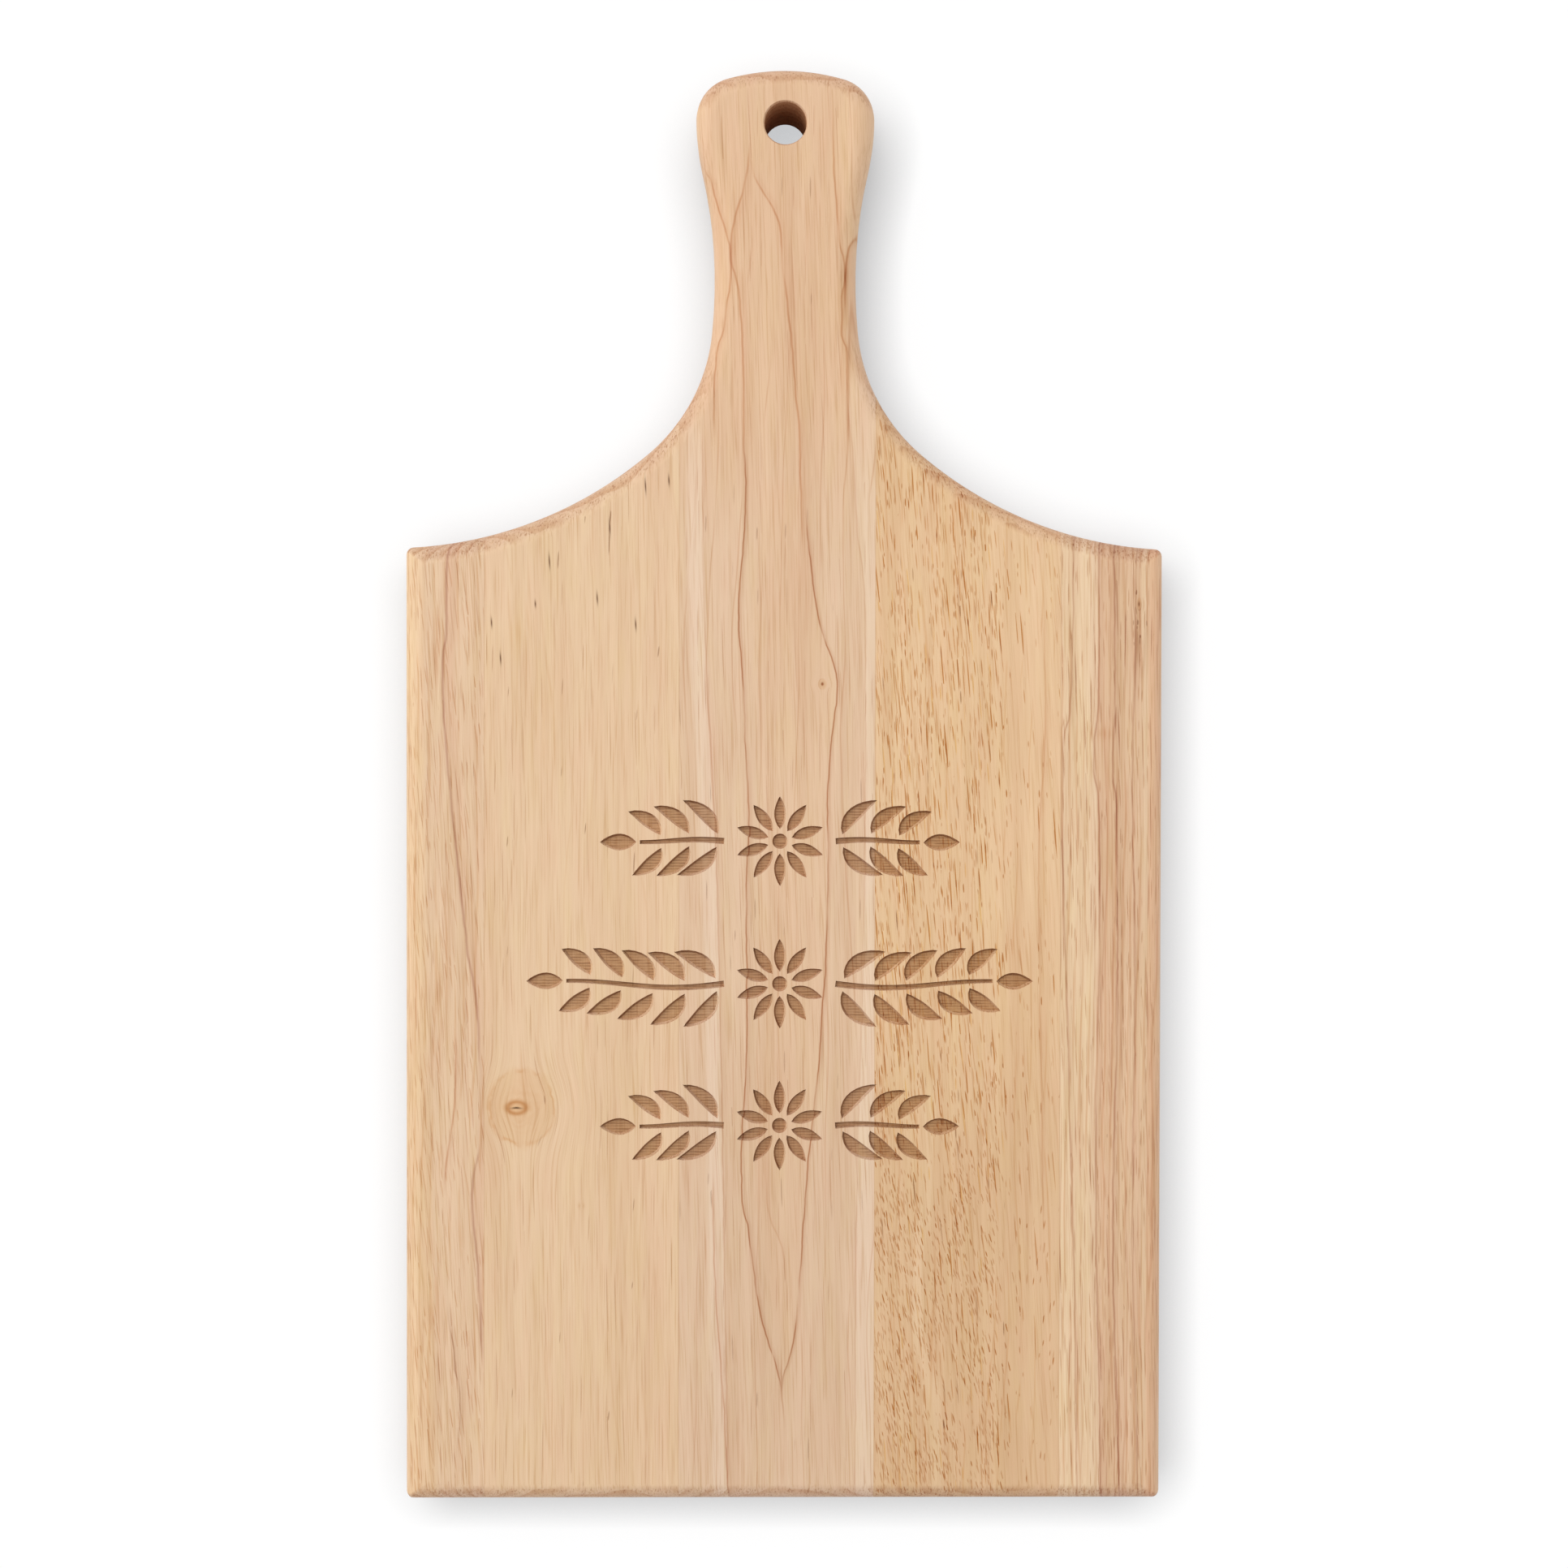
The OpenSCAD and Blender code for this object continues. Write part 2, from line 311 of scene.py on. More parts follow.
class Wood(Shader):
    """Wood whose fibres run along the board, drawn from the place in the board.

    A shade is three factors for red, green and blue that the colour is multiplied by. Places, widths and
    lengths are in millimetres. A slant is sideways run per length, and shift moves a pattern to other wood.
    """

    def __init__(self, name, base, seed, wander, knots=()):
        """Base is the plain colour, and wander how far the fibres drift sideways."""
        super().__init__(name)
        self.seed = seed
        x, y, z = self.x, self.y, self.z
        # The fibres wander slowly sideways, and part round each knot
        drift = self.noise(x * 0.02 + seed, y * 0.006, z * 0.02, detail=1.0)
        ripple = self.noise(x * 0.09 + seed, y * 0.03, z * 0.09, detail=1.0)
        u = x + drift * wander + ripple * (wander * 0.16)
        for knot_x, knot_y, half_width, half_height in knots:
            near = self.bell(y - knot_y, half_height * 1.25) * self.bell(x - knot_x, half_width * 2.2)
            u = u - (u - knot_x) * near * 0.72
        self.u = u
        self.colour = base
        self.height = None
        self.rougher = None

    def raise_by(self, amount):
        """Adds to the relief, in millimetres."""
        self.height = amount if self.height is None else self.height + amount

    def streaks(self, across, along, detail=2.0, shift=0.0, slant=0.0):
        """Noise stretched along the fibres; across and along are about the width and length of a streak."""
        u = self.u + self.y * slant if slant else self.u
        side = u / across + (self.seed * SEED_STEP + shift)
        return self.noise(side, self.y / along, self.z / across, detail)

    def dye(self, share, shade):
        """Multiplies the wood's colour where share is 1."""
        self.colour = self.tint(self.clamp(share), self.colour, shade)

    def vary(self, signal, strength, dark, pale):
        """One shade where a signal is above 0, and another where it is below."""
        self.dye(signal * strength, dark)
        self.dye(signal * -strength, pale)

    def fibre(self, coarse, fine, slant=0.0):
        """Soft stripes, and the short hairlines of the vessels, that every board has."""
        broad = self.streaks(6.5, 240.0, shift=3.0)
        self.vary(broad, 1.2 * coarse, (0.91, 0.87, 0.82), (1.04, 1.05, 1.07))
        medium = self.streaks(1.9, 70.0, detail=3.0, shift=11.0)
        self.vary(medium, coarse, (0.92, 0.87, 0.81), (1.05, 1.06, 1.06))
        hue = self.noise(self.u / 4.5 + self.seed, self.y / 26.0, self.z / 9.0)
        self.vary(hue, 0.8, (1.005, 0.965, 0.975), (0.995, 1.01, 0.94))
        hair = self.streaks(0.40, 22.0, slant=slant)
        self.dye(self.smooth(hair, 0.05, 0.85) * fine, (0.84, 0.75, 0.64))
        self.dye(self.smooth(hair, -0.05, -0.85) * fine, (1.05, 1.07, 1.09))
        self.raise_by(hair * -0.010)
        self.pores(1.10, 14.0, 0.17, 10.0, 0.65, (0.80, 0.67, 0.54), 0.5 * fine, slant, 17.0, sink=0.02)

    def patches(self, strength):
        """Large soft clouds of warmer and cooler wood."""
        cloud = self.noise(self.x / 26.0 + self.seed, self.y / 62.0, self.z / 26.0)
        self.vary(cloud, strength, (0.92, 0.87, 0.82), (1.04, 1.05, 1.05))

    def growth(self, spacing, strength, sway, shade, width, shift, broken):
        """Near-parallel growth lines, drawn where a slowly warped count across the board is whole.

        Sway is how far they wander, and broken about the length of a line before it fades.
        """
        warp = self.noise(self.u / 34.0 + shift, self.y / 120.0, self.z / 30.0, detail=1.0)
        small = self.noise(self.u / 9.0 + shift, self.y / 46.0, self.z / 9.0, detail=1.0)
        count = (self.u + (self.z - FACE) * 0.45 + warp * sway + small * 0.9) / spacing
        edge = abs(self.math("WRAP", count, 0.5, -0.5))
        fade = self.noise(self.u / 5.0 + shift + 5.0, self.y / broken, self.z / 15.0)
        line = self.smooth(edge, width / spacing, 0.0) * self.smooth(fade, -0.30, 0.30)
        self.dye(line * strength, shade)

    def across_line(self, points):
        """Distance from a line down the board, given as (y, x) points."""
        run = self.curve(self.y, points, -HALF_LENGTH, HALF_LENGTH)
        shake = self.noise(self.y / 7.0 + self.seed, self.z / 5.0, points[0][1])
        return self.x - run + shake * LINE_SHAKE + (self.z - FACE) * LINE_LEAN

    def stretch(self, low, high, ease):
        """1 between two places along the board, with soft ends."""
        return self.smooth(self.y, low - ease, low + ease) * self.smooth(self.y, high + ease, high - ease)

    def line(self, points, width, strength, shade, halo, ends=None):
        """One growth line through (y, x) points, with a soft stain of the halo's width on one side of it."""
        away = self.across_line(points)
        low, high = ends or (min(y for y, _ in points), max(y for y, _ in points))
        reach = self.stretch(low, high, 6.0)
        patchy = self.smooth(self.streaks(2.0, 30.0, shift=points[0][1]), -1.0, 0.1)
        self.dye(self.bell(away, width) * reach * patchy * strength, shade)
        if halo:
            stain = self.bell(away - halo * 0.45, halo * 0.5)
            self.dye(stain * reach * (strength * 0.20), shade)

    def band(self, left, right, shade, strength, soft, ends=(-300.0, 300.0)):
        """A stripe of other wood between two lines of (y, x) points."""
        inside = self.smooth(self.across_line(left), -soft, soft)
        inside = inside * self.smooth(self.across_line(right), soft, -soft)
        self.dye(inside * self.stretch(*ends, 5.0) * strength, shade)

    def blotch(self, x, y, half_width, half_height, shade, strength):
        """A stain with ragged, streaky edges."""
        away = self.bell(self.x - x, half_width) * self.bell(self.y - y, half_height)
        rag = self.streaks(0.9, 14.0, detail=3.0, shift=x)
        self.dye(away * self.smooth(rag, -0.6, 0.5) * strength, shade)

    def pores(self, across, along, width, length, share, shade, strength=1.0, slant=0.0, shift=0.0,
              where=None, sink=0.05):
        """Open pores: short dashes along the fibres, each with its own length and depth of colour.

        They stand about across and along apart, reach a width to each side, and a share of them shows.
        """
        side = self.u / across + (self.seed * 3.1 + shift)
        (du, dv, dw), chance = self.cells(side, self.y / along, self.z / across)
        limit = share if where is None else where * share
        present = self.smooth(chance[0] - limit, 0.03, -0.03)
        own_length = chance[1] * (length * 0.75) + length * 0.4
        own_slant = chance[1] * 0.06 - 0.03 + slant
        rise = dv * along
        along_share = rise / own_length
        # Thin within the surface, whichever way it faces, and thicker into it, so that enough of them show
        du, dw = du * across + rise * own_slant, dw * across
        nx, _, nz = self.normal
        into = du * nx + dw * nz
        across_share = (du * du + dw * dw - into * into) / (width * width)
        depth_share = into / (across * PORE_DEPTH)
        inside = across_share + along_share * along_share + depth_share * depth_share
        dash = self.smooth(inside, 1.0, 0.25) * present * (chance[2] * 0.6 + 0.4)
        self.dye(dash * strength, shade)
        self.raise_by(dash * -sink)

    def dashes(self, places, slant, shade):
        """Single dark dashes at given (x, y, length)."""
        for x, y, length in places:
            rise = self.y - y
            away = (self.x - x + rise * slant) / DASH_WIDTH
            self.dye(self.bell(away, 1.0) * self.bell(rise, length * 0.5), shade)

    def knot(self, x, y, half_width, half_height, rim, heart, strength, eye):
        """A tight knot: faint rings, a soft rim and, where eye is its share of the knot, a dark eye."""
        rag = self.noise(self.x / 5.0, self.y / 6.0, self.z / 6.0, detail=3.0)
        dx = (self.x - x + (self.z - FACE) * 0.2) / half_width
        dy = (self.y - y) / half_height
        away = self.math("SQRT", dx * dx + dy * dy) + rag * 0.13
        inside = self.smooth(away, 1.12, 0.85)
        self.dye(inside * strength, (0.95, 0.90, 0.82))
        ring = self.bell(away - 0.97, 0.045) * self.smooth(rag, -0.5, 0.4)
        self.dye(ring * strength, rim)
        rings = self.math("SINE", away * 30.0 + rag * 1.5) * 0.5 + 0.5
        self.dye(rings * self.smooth(away, 0.85, 0.25) * inside * (0.30 * strength), rim)
        if eye:
            self.dye(self.bell(away, 0.30) * strength, rim)
            middle = self.smooth(away, eye, eye * 0.45)
            self.dye(middle * strength, heart)
            self.raise_by(middle * -0.10)

    def end_grain(self, strength, pith, ring):
        """Where the fibres are cut across: darker wood, specks, and growth rings.

        The pith is the (x, z) place that the rings run round, and ring the distance from one to the next.
        """
        facing = abs(self.normal[1])
        cut = self.smooth(facing, 0.04, 0.42)
        speck = self.noise(self.x / 0.42, self.y / 2.4, self.z / 0.42, detail=1.0)
        self.dye(cut * strength, (0.87, 0.84, 0.86))
        self.dye(self.smooth(facing, 0.3, 0.9) * strength, (0.90, 0.87, 0.88))
        self.dye(cut * self.smooth(speck, 0.15, 0.65) * strength, (0.66, 0.50, 0.40))
        self.dye(cut * self.smooth(speck, -0.15, -0.7) * strength * 0.6, (1.10, 1.10, 1.10))
        self.raise_by(cut * speck * -0.02)
        away_x, away_z = self.x - pith[0], self.z - pith[1]
        sway = self.noise(self.x / 14.0, self.seed, self.z / 14.0, detail=1.0)
        rings = self.math("SQRT", away_x * away_x + away_z * away_z) / ring + sway * 0.5
        late = self.math("WRAP", rings, 1.0, 0.0)
        late = self.smooth(late, 0.35, 0.95) * self.smooth(late, 1.0, 0.95)
        self.dye(cut * late * strength, (0.86, 0.76, 0.68))

    def slope(self):
        """The board darkens a little towards the bottom edge."""
        self.dye(self.smooth(self.y, 60.0, -HALF_LENGTH) * 0.9, (0.955, 0.95, 0.945))

    def finish(self, roughness):
        """Joins colour, relief and gloss into the finished material."""
        inputs = {"Base Color": self.colour, "Specular IOR Level": SPECULAR}
        bsdf = self.node("ShaderNodeBsdfPrincipled", inputs)
        if self.height is not None:
            bump = self.node("ShaderNodeBump", {"Distance": MM, "Strength": 1.0, "Height": self.height})
            self.join(bump.outputs["Normal"], bsdf.inputs["Normal"])
        sheen = self.streaks(0.8, 26.0, shift=31.0)
        rough = sheen * 0.08 + roughness
        if self.rougher is not None:
            rough = rough + self.rougher
        self.join(self.clamp(rough), bsdf.inputs["Roughness"])
        self.surface(bsdf.outputs["BSDF"])
        return self.material


# ---- engraved ornament

# Depth of the engraving, and how far its walls lean in, as a share of a shape's mean width
DEPTH = 1.1
LEAN_SHARE = 0.21
# How far the cutting solids stand out above the face
ABOVE = 0.4
# The middle of the ornament across the board, and the stretch of the board that it stays within
ORNAMENT_X = -1.3
ORNAMENT_FOOT, ORNAMENT_TOP = -124.0, 4.0
# Its three rows: the place along the board, the reach to each side, the pairs of leaves and the stem's wave
ROWS = [(-16.3, 54.0, 3, 0.5), (-59.1, 76.0, 5, -1.3), (-101.7, 54.0, 3, 0.5)]
# The rosette's radius and petals, and the gap between it and a sprig
ROSETTE, PETALS, SPRIG_GAP = 13.5, 10, 3.2
# The stem's width at its foot and its tip, and how far a leaf starts from its middle
STEM, STEM_TIP, LEAF_GAP = 1.9, 1.2, 1.9
# A leaf's length, width as a share of the room along the stem, angle to the stem and bend
LEAF, LEAF_SHARE, LEAF_ANGLE, LEAF_BEND = 15.0, 0.54, math.radians(54), 0.5
# The leaf at the tip of a sprig: the length that it takes up, its gap and its width
TIP, TIP_GAP, TIP_WIDTH = 12.0, 1.0, 5.2
# Steps along a leaf, round a disc and along a stem
LEAF_STEPS, DISC_STEPS, STEM_STEPS = 9, 28, 30


def leaf(x, y, angle, length, width, bend=0.0):
    """A pointed leaf that starts at a place and runs off at an angle, as a closed outline."""
    sides = ([], [])
    for i in range(LEAF_STEPS + 1):
        t = i / LEAF_STEPS
        half = width / 2 * math.sin(math.pi * t) ** 0.8 * (1.12 - 0.3 * t)
        heading = angle + bend * (t - 0.5)
        along = Vector((math.cos(heading), math.sin(heading)))
        across = Vector((-along.y, along.x))
        spine = Vector((x, y)) + along * (length * t)
        for side, sign in zip(sides, (1, -1)):
            side.append(spine + across * half * sign)
    return sides[1][:-1] + sides[0][::-1][:-1]


def ribbon(points, width_start, width_end):
    """A stem along points, tapering from one width to another."""
    left, right = [], []
    last = len(points) - 1
    for i, point in enumerate(points):
        before, after = points[max(i - 1, 0)], points[min(i + 1, last)]
        along = (after - before).normalized()
        across = Vector((-along.y, along.x))
        half = (width_start + (width_end - width_start) * i / last) / 2
        left.append(point + across * half)
        right.append(point - across * half)
    return right + left[::-1]


def disc(x, y, radius):
    """A round outline."""
    angles = [2 * math.pi * i / DISC_STEPS for i in range(DISC_STEPS)]
    return [Vector((x + radius * math.cos(angle), y + radius * math.sin(angle))) for angle in angles]


def rosette(x, y):
    """Petals round a small boss, the first one upright."""
    shapes = [disc(x, y, ROSETTE * 0.17)]
    start = ROSETTE * 0.27
    for i in range(PETALS):
        angle = math.pi / 2 + 2 * math.pi * i / PETALS
        shapes.append(leaf(
            x + start * math.cos(angle), y + start * math.sin(angle), angle,
            ROSETTE - start, ROSETTE * 2.7 / PETALS
        ))
    return shapes


def mirrored(shape, about):
    """The outline on the other side of an upright line, still running the same way round."""
    return [Vector((2 * about - p.x, p.y)) for p in reversed(shape)]


def sprig(x, y, reach, pairs, rise):
    """A laurel sprig to the right: a waving stem with pairs of leaves and a leaf at its tip."""
    length = reach - TIP

    def stem(t):
        """The place at a share of the stem's length."""
        return Vector((x + length * t, y + rise * math.sin(t * math.pi * 1.5) * (1 - 0.35 * t)))

    shapes = [ribbon([stem(i / STEM_STEPS) for i in range(STEM_STEPS + 1)], STEM, STEM_TIP)]
    for i in range(pairs):
        t = (i + 0.25) / pairs
        foot, ahead = stem(t), stem(t + 0.01)
        heading = math.atan2(ahead.y - foot.y, ahead.x - foot.x)
        across = Vector((-math.sin(heading), math.cos(heading)))
        for side in (1, -1):
            size = LEAF * (1 - 0.26 * t)
            width = length / pairs * LEAF_SHARE
            begin = foot + across * side * LEAF_GAP
            angle = heading + side * LEAF_ANGLE
            shapes.append(leaf(begin.x, begin.y, angle, size, width, bend=-side * LEAF_BEND))
    end, before = stem(1.0), stem(0.97)
    heading = math.atan2(end.y - before.y, end.x - before.x)
    along = Vector((math.cos(heading), math.sin(heading)))
    begin = end + along * TIP_GAP
    shapes.append(leaf(begin.x, begin.y, heading, TIP - TIP_GAP, TIP_WIDTH))
    return shapes


def ornament():
    """All the outlines of the ornament: in each row a rosette between two sprigs."""
    shapes = []
    start = ROSETTE + SPRIG_GAP
    for y, reach, pairs, rise in ROWS:
        shapes += rosette(ORNAMENT_X, y)
        for shape in sprig(ORNAMENT_X + start, y, reach - start, pairs, rise):
            shapes += [shape, mirrored(shape, ORNAMENT_X)]
    return shapes


def mean_width(outline):
    """Twice the area over the perimeter."""
    pairs = list(zip(outline, outline[1:] + outline[:1]))
    area = abs(sum(a.x * b.y - a.y * b.x for a, b in pairs)) / 2
    return 2 * area / sum((b - a).length for a, b in pairs)


def prism(mesh, outline):
    """Adds one cutting solid with leaning walls to a mesh under construction."""
    count = len(outline)
    normals = []
    for i, point in enumerate(outline):
        into = (point - outline[i - 1]).normalized()
        out_of = (outline[(i + 1) % count] - point).normalized()
        along = into + out_of
        along = along.normalized() if along.length > 0.1 else into
        normals.append(Vector((along.y, -along.x)))
    rings = []
    lean = LEAN_SHARE * mean_width(outline)
    for height, shift in ((-DEPTH, -lean), (ABOVE, lean * ABOVE / DEPTH)):
        rings.append([
            mesh.verts.new(((p.x + n.x * shift) * MM, (p.y + n.y * shift) * MM, (FACE + height) * MM))
            for p, n in zip(outline, normals)
        ])
    low, high = rings
    mesh.faces.new(low[::-1])
    mesh.faces.new(high)
    for i in range(count):
        j = (i + 1) % count
        mesh.faces.new((low[i], low[j], high[j], high[i]))


def engraving_tool():
    """The whole ornament as one object to cut with."""
    mesh = bmesh.new()
    for outline in ornament():
        prism(mesh, outline)
    bmesh.ops.recalc_face_normals(mesh, faces=mesh.faces)
    data = bpy.data.meshes.new("engraving_tool")
    mesh.to_mesh(data)
    mesh.free()
    return add_object("engraving_tool", data)


# ---- the visible pieces

# In metres: corners of the CAD mesh closer than this are one, and the serving face is flat to within this
WELD, LEVEL = 2e-7, 1e-6
# Edges that turn by more than this stay sharp
SHARP = math.radians(35)


def welded_mesh(name, source):
    """The CAD mesh with its split corners joined."""
    mesh = bmesh.new()
    mesh.from_mesh(source)
    bmesh.ops.remove_doubles(mesh, verts=mesh.verts, dist=WELD)
    data = bpy.data.meshes.new(name)
    vertices = [v.co.copy() for v in mesh.verts]
    faces = [[v.index for v in f.verts] for f in mesh.faces]
    mesh.free()
    data.from_pydata(vertices, [], faces)
    return data


def soften(data):
    """Smooth shading over the round-overs, with creases only at true corners."""
    mesh = bmesh.new()
    mesh.from_mesh(data)
    for face in mesh.faces:
        face.smooth = True
    for edge in mesh.edges:
        edge.smooth = len(edge.link_faces) == 2 and edge.calc_face_angle(0.0) < SHARP
    mesh.to_mesh(data)
    mesh.free()


def rows_of(rim):
    """The edges of closed loops, listed for every millimetre along the board that they reach."""
    rows = {}
    for edge in rim:
        a, b = (v.co.xy / MM for v in edge.verts)
        for row in range(math.floor(min(a.y, b.y)), math.floor(max(a.y, b.y)) + 1):
            rows.setdefault(row, []).append((a, b))
    return rows


def within(rows, point):
    """Whether a point lies inside the loops: a ray to the right crosses an odd number of edges."""
    crossed = 0
    for a, b in rows.get(math.floor(point.y), ()):
        if (a.y > point.y) != (b.y > point.y):
            crossed += a.x + (point.y - a.y) / (b.y - a.y) * (b.x - a.x) > point.x
    return crossed % 2 == 1


def refill_face(data):
    """Fills the flat serving face again with well-shaped triangles, round the engraved outlines."""
    mesh = bmesh.new()
    mesh.from_mesh(data)
    mesh.normal_update()
    flat = {
        f for f in mesh.faces
        if f.normal.z > 0.999 and all(abs(v.co.z - FACE * MM) < LEVEL for v in f.verts)
    }
    rim = {e for f in flat for e in f.edges if sum(g in flat for g in e.link_faces) == 1}
    corners = list({v for e in rim for v in e.verts})
    number = {v: i for i, v in enumerate(corners)}
    edges = [[number[v] for v in e.verts] for e in rim]
    made = delaunay_2d_cdt([v.co.xy / MM for v in corners], edges, [], 2, 1e-6)
    faces, sources = made[2], made[3]
    triangles = [[corners[sources[i][0]] for i in face] for face in faces]
    rows = rows_of(rim)
    inner = {e for f in flat for e in f.edges} - rim
    bmesh.ops.delete(mesh, geom=list(flat), context="FACES_ONLY")
    bmesh.ops.delete(mesh, geom=list(inner), context="EDGES")
    for triangle in triangles:
        middle = sum((v.co.xy for v in triangle), Vector((0, 0))) / (3 * MM)
        if within(rows, middle):
            mesh.faces.new(triangle)
    bmesh.ops.delete(mesh, geom=[v for v in mesh.verts if not v.link_faces], context="VERTS")
    mesh.normal_update()
    mesh.to_mesh(data)
    mesh.free()


def dress(node, material, tool):
    """Stands a finished copy of a CAD node in its place, engraved where there is a tool."""
    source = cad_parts[node]
    data = welded_mesh(node + "_finished", source.data)
    piece = add_object(node + "_finished", data)
    if tool is not None:
        cut = piece.modifiers.new("engrave", "BOOLEAN")
        cut.operation = "DIFFERENCE"
        cut.solver = "MANIFOLD"
        cut.object = tool
        graph = bpy.context.evaluated_depsgraph_get()
        carved = bpy.data.meshes.new_from_object(piece.evaluated_get(graph))
        piece.modifiers.remove(cut)
        piece.data = carved
        refill_face(carved)
    soften(piece.data)
    piece.data.materials.clear()
    piece.data.materials.append(material)
    weighted = piece.modifiers.new("flat faces first", "WEIGHTED_NORMAL")
    weighted.mode = "FACE_AREA"
    weighted.weight = 100
    weighted.keep_sharp = True
    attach(piece, "root")
    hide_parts(node)


# ---- the five woods

# Distance between the engraver's lines
HATCH = 0.86


def burn_engraving(wood):
    """Scorches the floor of the sunk ornament, draws the fine lines that the engraver leaves across it, and
    paints shade on the walls that face away from the lamp.
    """
    nx, ny, nz = wood.normal
    x, y, depth = wood.x, wood.y, FACE - wood.z
    inside = wood.smooth(depth, 0.03, 0.10) * wood.smooth(depth, DEPTH * 2 + 0.2, DEPTH * 2)
    inside = inside * wood.smooth(y, ORNAMENT_FOOT, ORNAMENT_FOOT + 1)
    inside = inside * wood.smooth(y, ORNAMENT_TOP, ORNAMENT_TOP - 1)
    floor = inside * wood.smooth(nz, 0.75, 0.95)
    wall = inside * wood.smooth(nz, 0.95, 0.75)
    wood.dye(floor, (0.68, 0.55, 0.43))
    shake = wood.noise(x / 2.2, y / 1.4, 3.0)
    lines = wood.math("SINE", (y + shake * 0.10) * (2 * math.pi / HATCH)) * 0.5 + 0.5
    faint = wood.smooth(wood.noise(x / 5.0, y / 1.2, 8.0), -0.8, 0.5)
    wood.dye(floor * lines * faint * 0.9, (0.56, 0.47, 0.41))
    wood.raise_by(floor * lines * -0.05)
    # Painted shade darkens the walls that face the lower right, away from the lamp; those that face the upper
    # left, towards it, get only a slight warm tint
    shaded = wood.smooth(nx * 0.7 - ny * 0.7, -0.15, 0.35)
    wood.dye(wall * shaded, (0.46, 0.33, 0.24))
    wood.dye(wall * (1 - shaded) * 0.6, (1.0, 0.96, 0.88))


# Places along the board just beyond its two ends
TOP, FOOT = 216, -216


def straight(top_x, foot_x):
    """A line down the whole board, as (y, x) points."""
    return [(TOP, top_x), (FOOT, foot_x)]


def moved(points, shift):
    """The same line, moved sideways."""
    return [(y, x + shift) for y, x in points]


def finished(wood, grain, pith, ring=2.6, engraved=False, roughness=WOOD_ROUGHNESS):
    """Adds the last layers, which every wood gets in this order, and returns the material."""
    wood.end_grain(grain, pith, ring)
    wood.slope()
    if engraved:
        burn_engraving(wood)
    return wood.finish(roughness)


def left_edge_wood():
    """Pale yellow, with a dark vein down its right side."""
    wood = Wood("left_edge_wood", srgb(230, 197, 163), seed=1.7, wander=1.0)
    vein = [
        (55.8, -101.1), (46.1, -101.1), (38.3, -102.3), (26.6, -102.1), (10.8, -101.1), (-8.1, -99.4),
        (-24.9, -97.7), (-50, -94.8), (-79.9, -91.3), (-107.1, -91.3), (-122.5, -93.5), (-135.6, -92.6),
        (-156.5, -91.1), (-214.2, -89.6)
    ]
    wood.fibre(0.85, 1.0, slant=0.05)
    wood.patches(0.35)
    # Painted light: a paler band over the left round-over, which faces the lamp
    outer = [(TOP, -107.2), (40, -108.2), (-60, -106.8), (FOOT, -104.5)]
    wood.band(straight(-125, -125), outer, (1.06, 1.07, 1.02), 0.9, soft=1.6)
    wood.growth(3.1, 0.6, sway=3.0, shade=(0.86, 0.72, 0.58), width=0.55, shift=2.0, broken=24.0)
    outside = wood.smooth(wood.x, -103.5, -109.0) * 0.5 + 0.5
    wood.pores(1.25, 9.0, 0.21, 5.5, 0.80, (0.76, 0.52, 0.34), 0.80, slant=0.13, shift=4.0, where=outside)
    wood.pores(1.70, 13.0, 0.20, 8.5, 0.65, (0.70, 0.48, 0.36), 0.75, slant=0.06, shift=9.0)
    wood.band(vein, moved(vein, 3.6), (1.0, 0.96, 0.95), 0.8, soft=0.9)
    wood.blotch(-103.5, 42.2, 2.2, 12.0, (0.86, 0.70, 0.62), 0.9)
    wood.blotch(-105.2, -153.0, 2.4, 11.0, (0.88, 0.72, 0.62), 0.8)
    wood.blotch(-103.0, -66.0, 2.0, 18.0, (0.92, 0.82, 0.74), 0.8)
    wood.line(vein, 0.40, 0.85, (0.68, 0.53, 0.51), halo=3.2, ends=(-170, 76))
    red = [(-80.4, -98.4), (-91.8, -98.6), (-105.4, -100.1), (-114.4, -101.3), (-124.2, -101.6)]
    wood.line(red, 0.30, 0.8, (0.74, 0.52, 0.42), halo=1.4, ends=(-118, -78))
    crack = [(-150, -101.2), (-168, -99), (-176, -98.6), (-186, -97.2), (-204, -98.2)]
    wood.line(crack, 0.24, 0.95, (0.56, 0.40, 0.32), halo=1.6, ends=(-196, -158))
    return finished(wood, 1.0, pith=(-150, -40))


